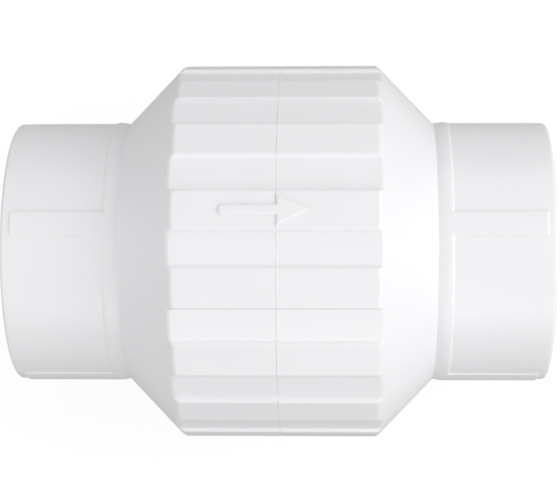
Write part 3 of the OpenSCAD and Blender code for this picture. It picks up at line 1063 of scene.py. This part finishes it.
# %% Rubber
f = Finish("seal_rubber", IOR=1.52)
bloom = f.noise(f.place, 6, 4) ** 2
pores = f.noise(f.place, 0.25)
f.shade(Base_Color=f.mix(bloom, (0.018, 0.018, 0.02, 1), (0.085, 0.085, 0.09, 1)),
        Roughness=0.5 + bloom * 0.3 + pores * 0.06,
        Normal=f.bump(pores, 0.006))
finishes["seal_rubber"] = f.material
print("nodes in the rubber:", len(f.tree.nodes))

# %% [markdown]
# ## Steel
#
# Steel reflects its surroundings, so its finish is mostly roughness and relief. The stem is ground, the
# screw turned and the washers stamped, and each gets rings of its own fineness. The wire of the spring is
# drawn through a die, which leaves streaks along it, and because the wire keeps its distance from the axis,
# a noise of that distance runs along the wire as well.


# %% Steels
def steel(name, colour, size, level, spread, depth):
    """Bright steel with lines of that size. level is its least roughness, spread what the lines add."""
    f = Finish(name, Metallic=1.0)
    lines = f.noise(f.rings(), size)
    stain = f.noise(f.place, 4, 3)
    f.shade(Base_Color=f.mix(stain, shaded(colour, 0.92), shaded(colour, 1.06)),
            Roughness=level + lines * spread + stain * 0.06,
            Normal=f.bump(lines, depth))
    return f.material


finishes["stem_steel"] = steel("stem_steel", (0.6, 0.61, 0.62), 0.06, 0.16, 0.12, 0.0015)
finishes["screw_steel"] = steel("screw_steel", (0.58, 0.59, 0.6), 0.14, 0.2, 0.16, 0.004)
finishes["washer_steel"] = steel("washer_steel", (0.6, 0.6, 0.61), 0.3, 0.26, 0.12, 0.003)
finishes["spring_steel"] = steel("spring_steel", (0.55, 0.56, 0.58), 0.09, 0.22, 0.14, 0.003)
print("all finishes:", sorted(finishes))

# %% [markdown]
# ## Finishes on the pieces
#
# Every piece has noted its material slot, and the finish of the same name goes into it. Two pieces can share
# a finish, as the disc and the retainer do, and each still shows its own part of the noises, because they
# are read at the piece's own coordinates.

# %% Give each piece its finish
for piece, name in finish_of.items():
    piece.data.materials.append(finishes[name])
    print(piece.name, "wears", name)

# %% [markdown]
# ## The camera
#
# The photograph looks down on the valve almost square-on, from a little in front of it and a touch to the
# right. Its lens follows from the picture: 1750 pixels of focal length on 560 pixels of width. The camera's
# three directions are worked out one from another, and they become the columns of its matrix. It stands a
# fraction of a millimetre beside its own line of sight, which centres the valve as in the photograph.

# %% Camera
tilt, swing, distance = math.radians(78.2), math.radians(2.0), 0.4038
picture_width, focal_pixels, sensor_width = 560, 1750, 36
aim_left, aim_down = 0.45, 0.2
back = Vector((math.sin(swing), -math.cos(swing) * math.cos(tilt), math.cos(swing) * math.sin(tilt)))
right = Vector((0, math.sin(tilt), math.cos(tilt))).cross(back).normalized()
up = back.cross(right)
lens = bpy.data.cameras.new("Camera")
lens.sensor_width = sensor_width
lens.lens = sensor_width * focal_pixels / picture_width
camera = bpy.data.objects.new("Camera", lens)
scene = bpy.context.scene
scene.collection.objects.link(camera)
turn = Matrix((right, up, back)).transposed().to_4x4()
camera.matrix_world = Matrix.Translation(back * distance - (right * aim_left + up * aim_down) * MM) @ turn
scene.camera = camera
print("camera at", [round(v, 3) for v in camera.matrix_world.translation], "lens", round(lens.lens, 1))

# %% [markdown]
# ## The floor
#
# The photograph's background is white all over, which a lit sheet never is. The floor is a plain sheet of
# grey card just under the lowest pad, which lights the valve a little from below. For the camera, and in
# part for reflections, most of it is replaced by a glow. The glow and the rest of the lit card add up to
# white, and the rest of the card keeps the valve's soft shadow.
#
# gloss_share is how much of the glow a reflection sees. Photographers stand black cards round a white
# object, because with white all round it its edges would vanish. A share of a fifth does the same here.

# %% Floor
floor_tone, floor_glow, card_share, gloss_share = 0.35, 0.87, 0.45, 0.2
floor_gap = 0.05
bpy.ops.object.select_all(action="DESELECT")
bpy.ops.mesh.primitive_plane_add(size=3, location=(0, 0, -(pad_top + floor_gap) * MM))
floor = bpy.context.object
floor.name = "floor"
f = Finish("floor", Base_Color=(floor_tone, floor_tone, floor_tone, 1), Specular_IOR_Level=0.0)
white_glow = {"Color": (1, 1, 1, 1), "Strength": floor_glow / (1 - card_share)}
glow = f.node("ShaderNodeEmission", {}, white_glow)
card = Wire(f, f.shader.outputs[0])
blend = f.node("ShaderNodeMixShader", {}, {0: f.seen(gloss_share) * (1 - card_share), 1: card, 2: glow})
f.put(f.tree.nodes["Material Output"].inputs["Surface"], blend)
floor.data.materials.append(f.material)
print("floor", round(floor.location.z / MM, 2), "mm from the axis")

# %% [markdown]
# ## The studio
#
# The world is a white room. The camera sees it white, reflections see the same share of it as of the floor,
# and as a source of light it has half its strength, so that the lamps model the shape. The lamps are wide
# discs on a circle round the valve, which give soft shading. The main light comes from the right, so the
# right cone is nearly white and the left one grey, and each lamp's power was set by comparing one part of
# the body with the photograph. One small lamp, high on the left, puts a glint on the edges that face it.

# %% World and lamps
ambient = 0.513
world = bpy.data.worlds.new("Studio")
scene.world = world
world.use_nodes = True
room = Tree(world.node_tree)
sky = world.node_tree.nodes["Background"]
room.put(sky.inputs["Color"], (1, 1, 1, 1))
room.put(sky.inputs["Strength"], room.seen(gloss_share) * (1 - ambient) + ambient)


def lamp(name, azimuth, height, power, size=0.55, far=1.2):
    """A round soft lamp: azimuth in degrees from +X towards +Y, height above the horizon, power in watts."""
    a, h = math.radians(azimuth), math.radians(height)
    place = far * Vector((math.cos(a) * math.cos(h), math.sin(a) * math.cos(h), math.sin(h)))
    light = bpy.data.lights.new(name, "AREA")
    light.shape = "DISK"
    light.size = size
    light.energy = power
    thing = bpy.data.objects.new(name, light)
    scene.collection.objects.link(thing)
    thing.location = place
    thing.rotation_euler = (-place).to_track_quat("-Z", "Y").to_euler()


lamp("right_low", 0, 25, 3.6)
lamp("right_high", 0, 45, 2.9)
lamp("left", 180, 15, 1.2)
lamp("left_high", 180, 50, 0.6, size=0.25)
lamp("front", -90, 25, 2.5)
lamp("back", 90, 40, 1.3)
lamp("right_front", -45, 25, 1.4)
lamp("right_back", 45, 25, 0.8)
lamp("left_front", -135, 25, 0.8)
lamp("left_back", 135, 40, 0.4)
scene.view_settings.view_transform = "Standard"
powers = [thing.data.energy for thing in scene.objects if thing.type == "LIGHT"]
print(len(powers), "lamps with", round(sum(powers), 1), "W together")
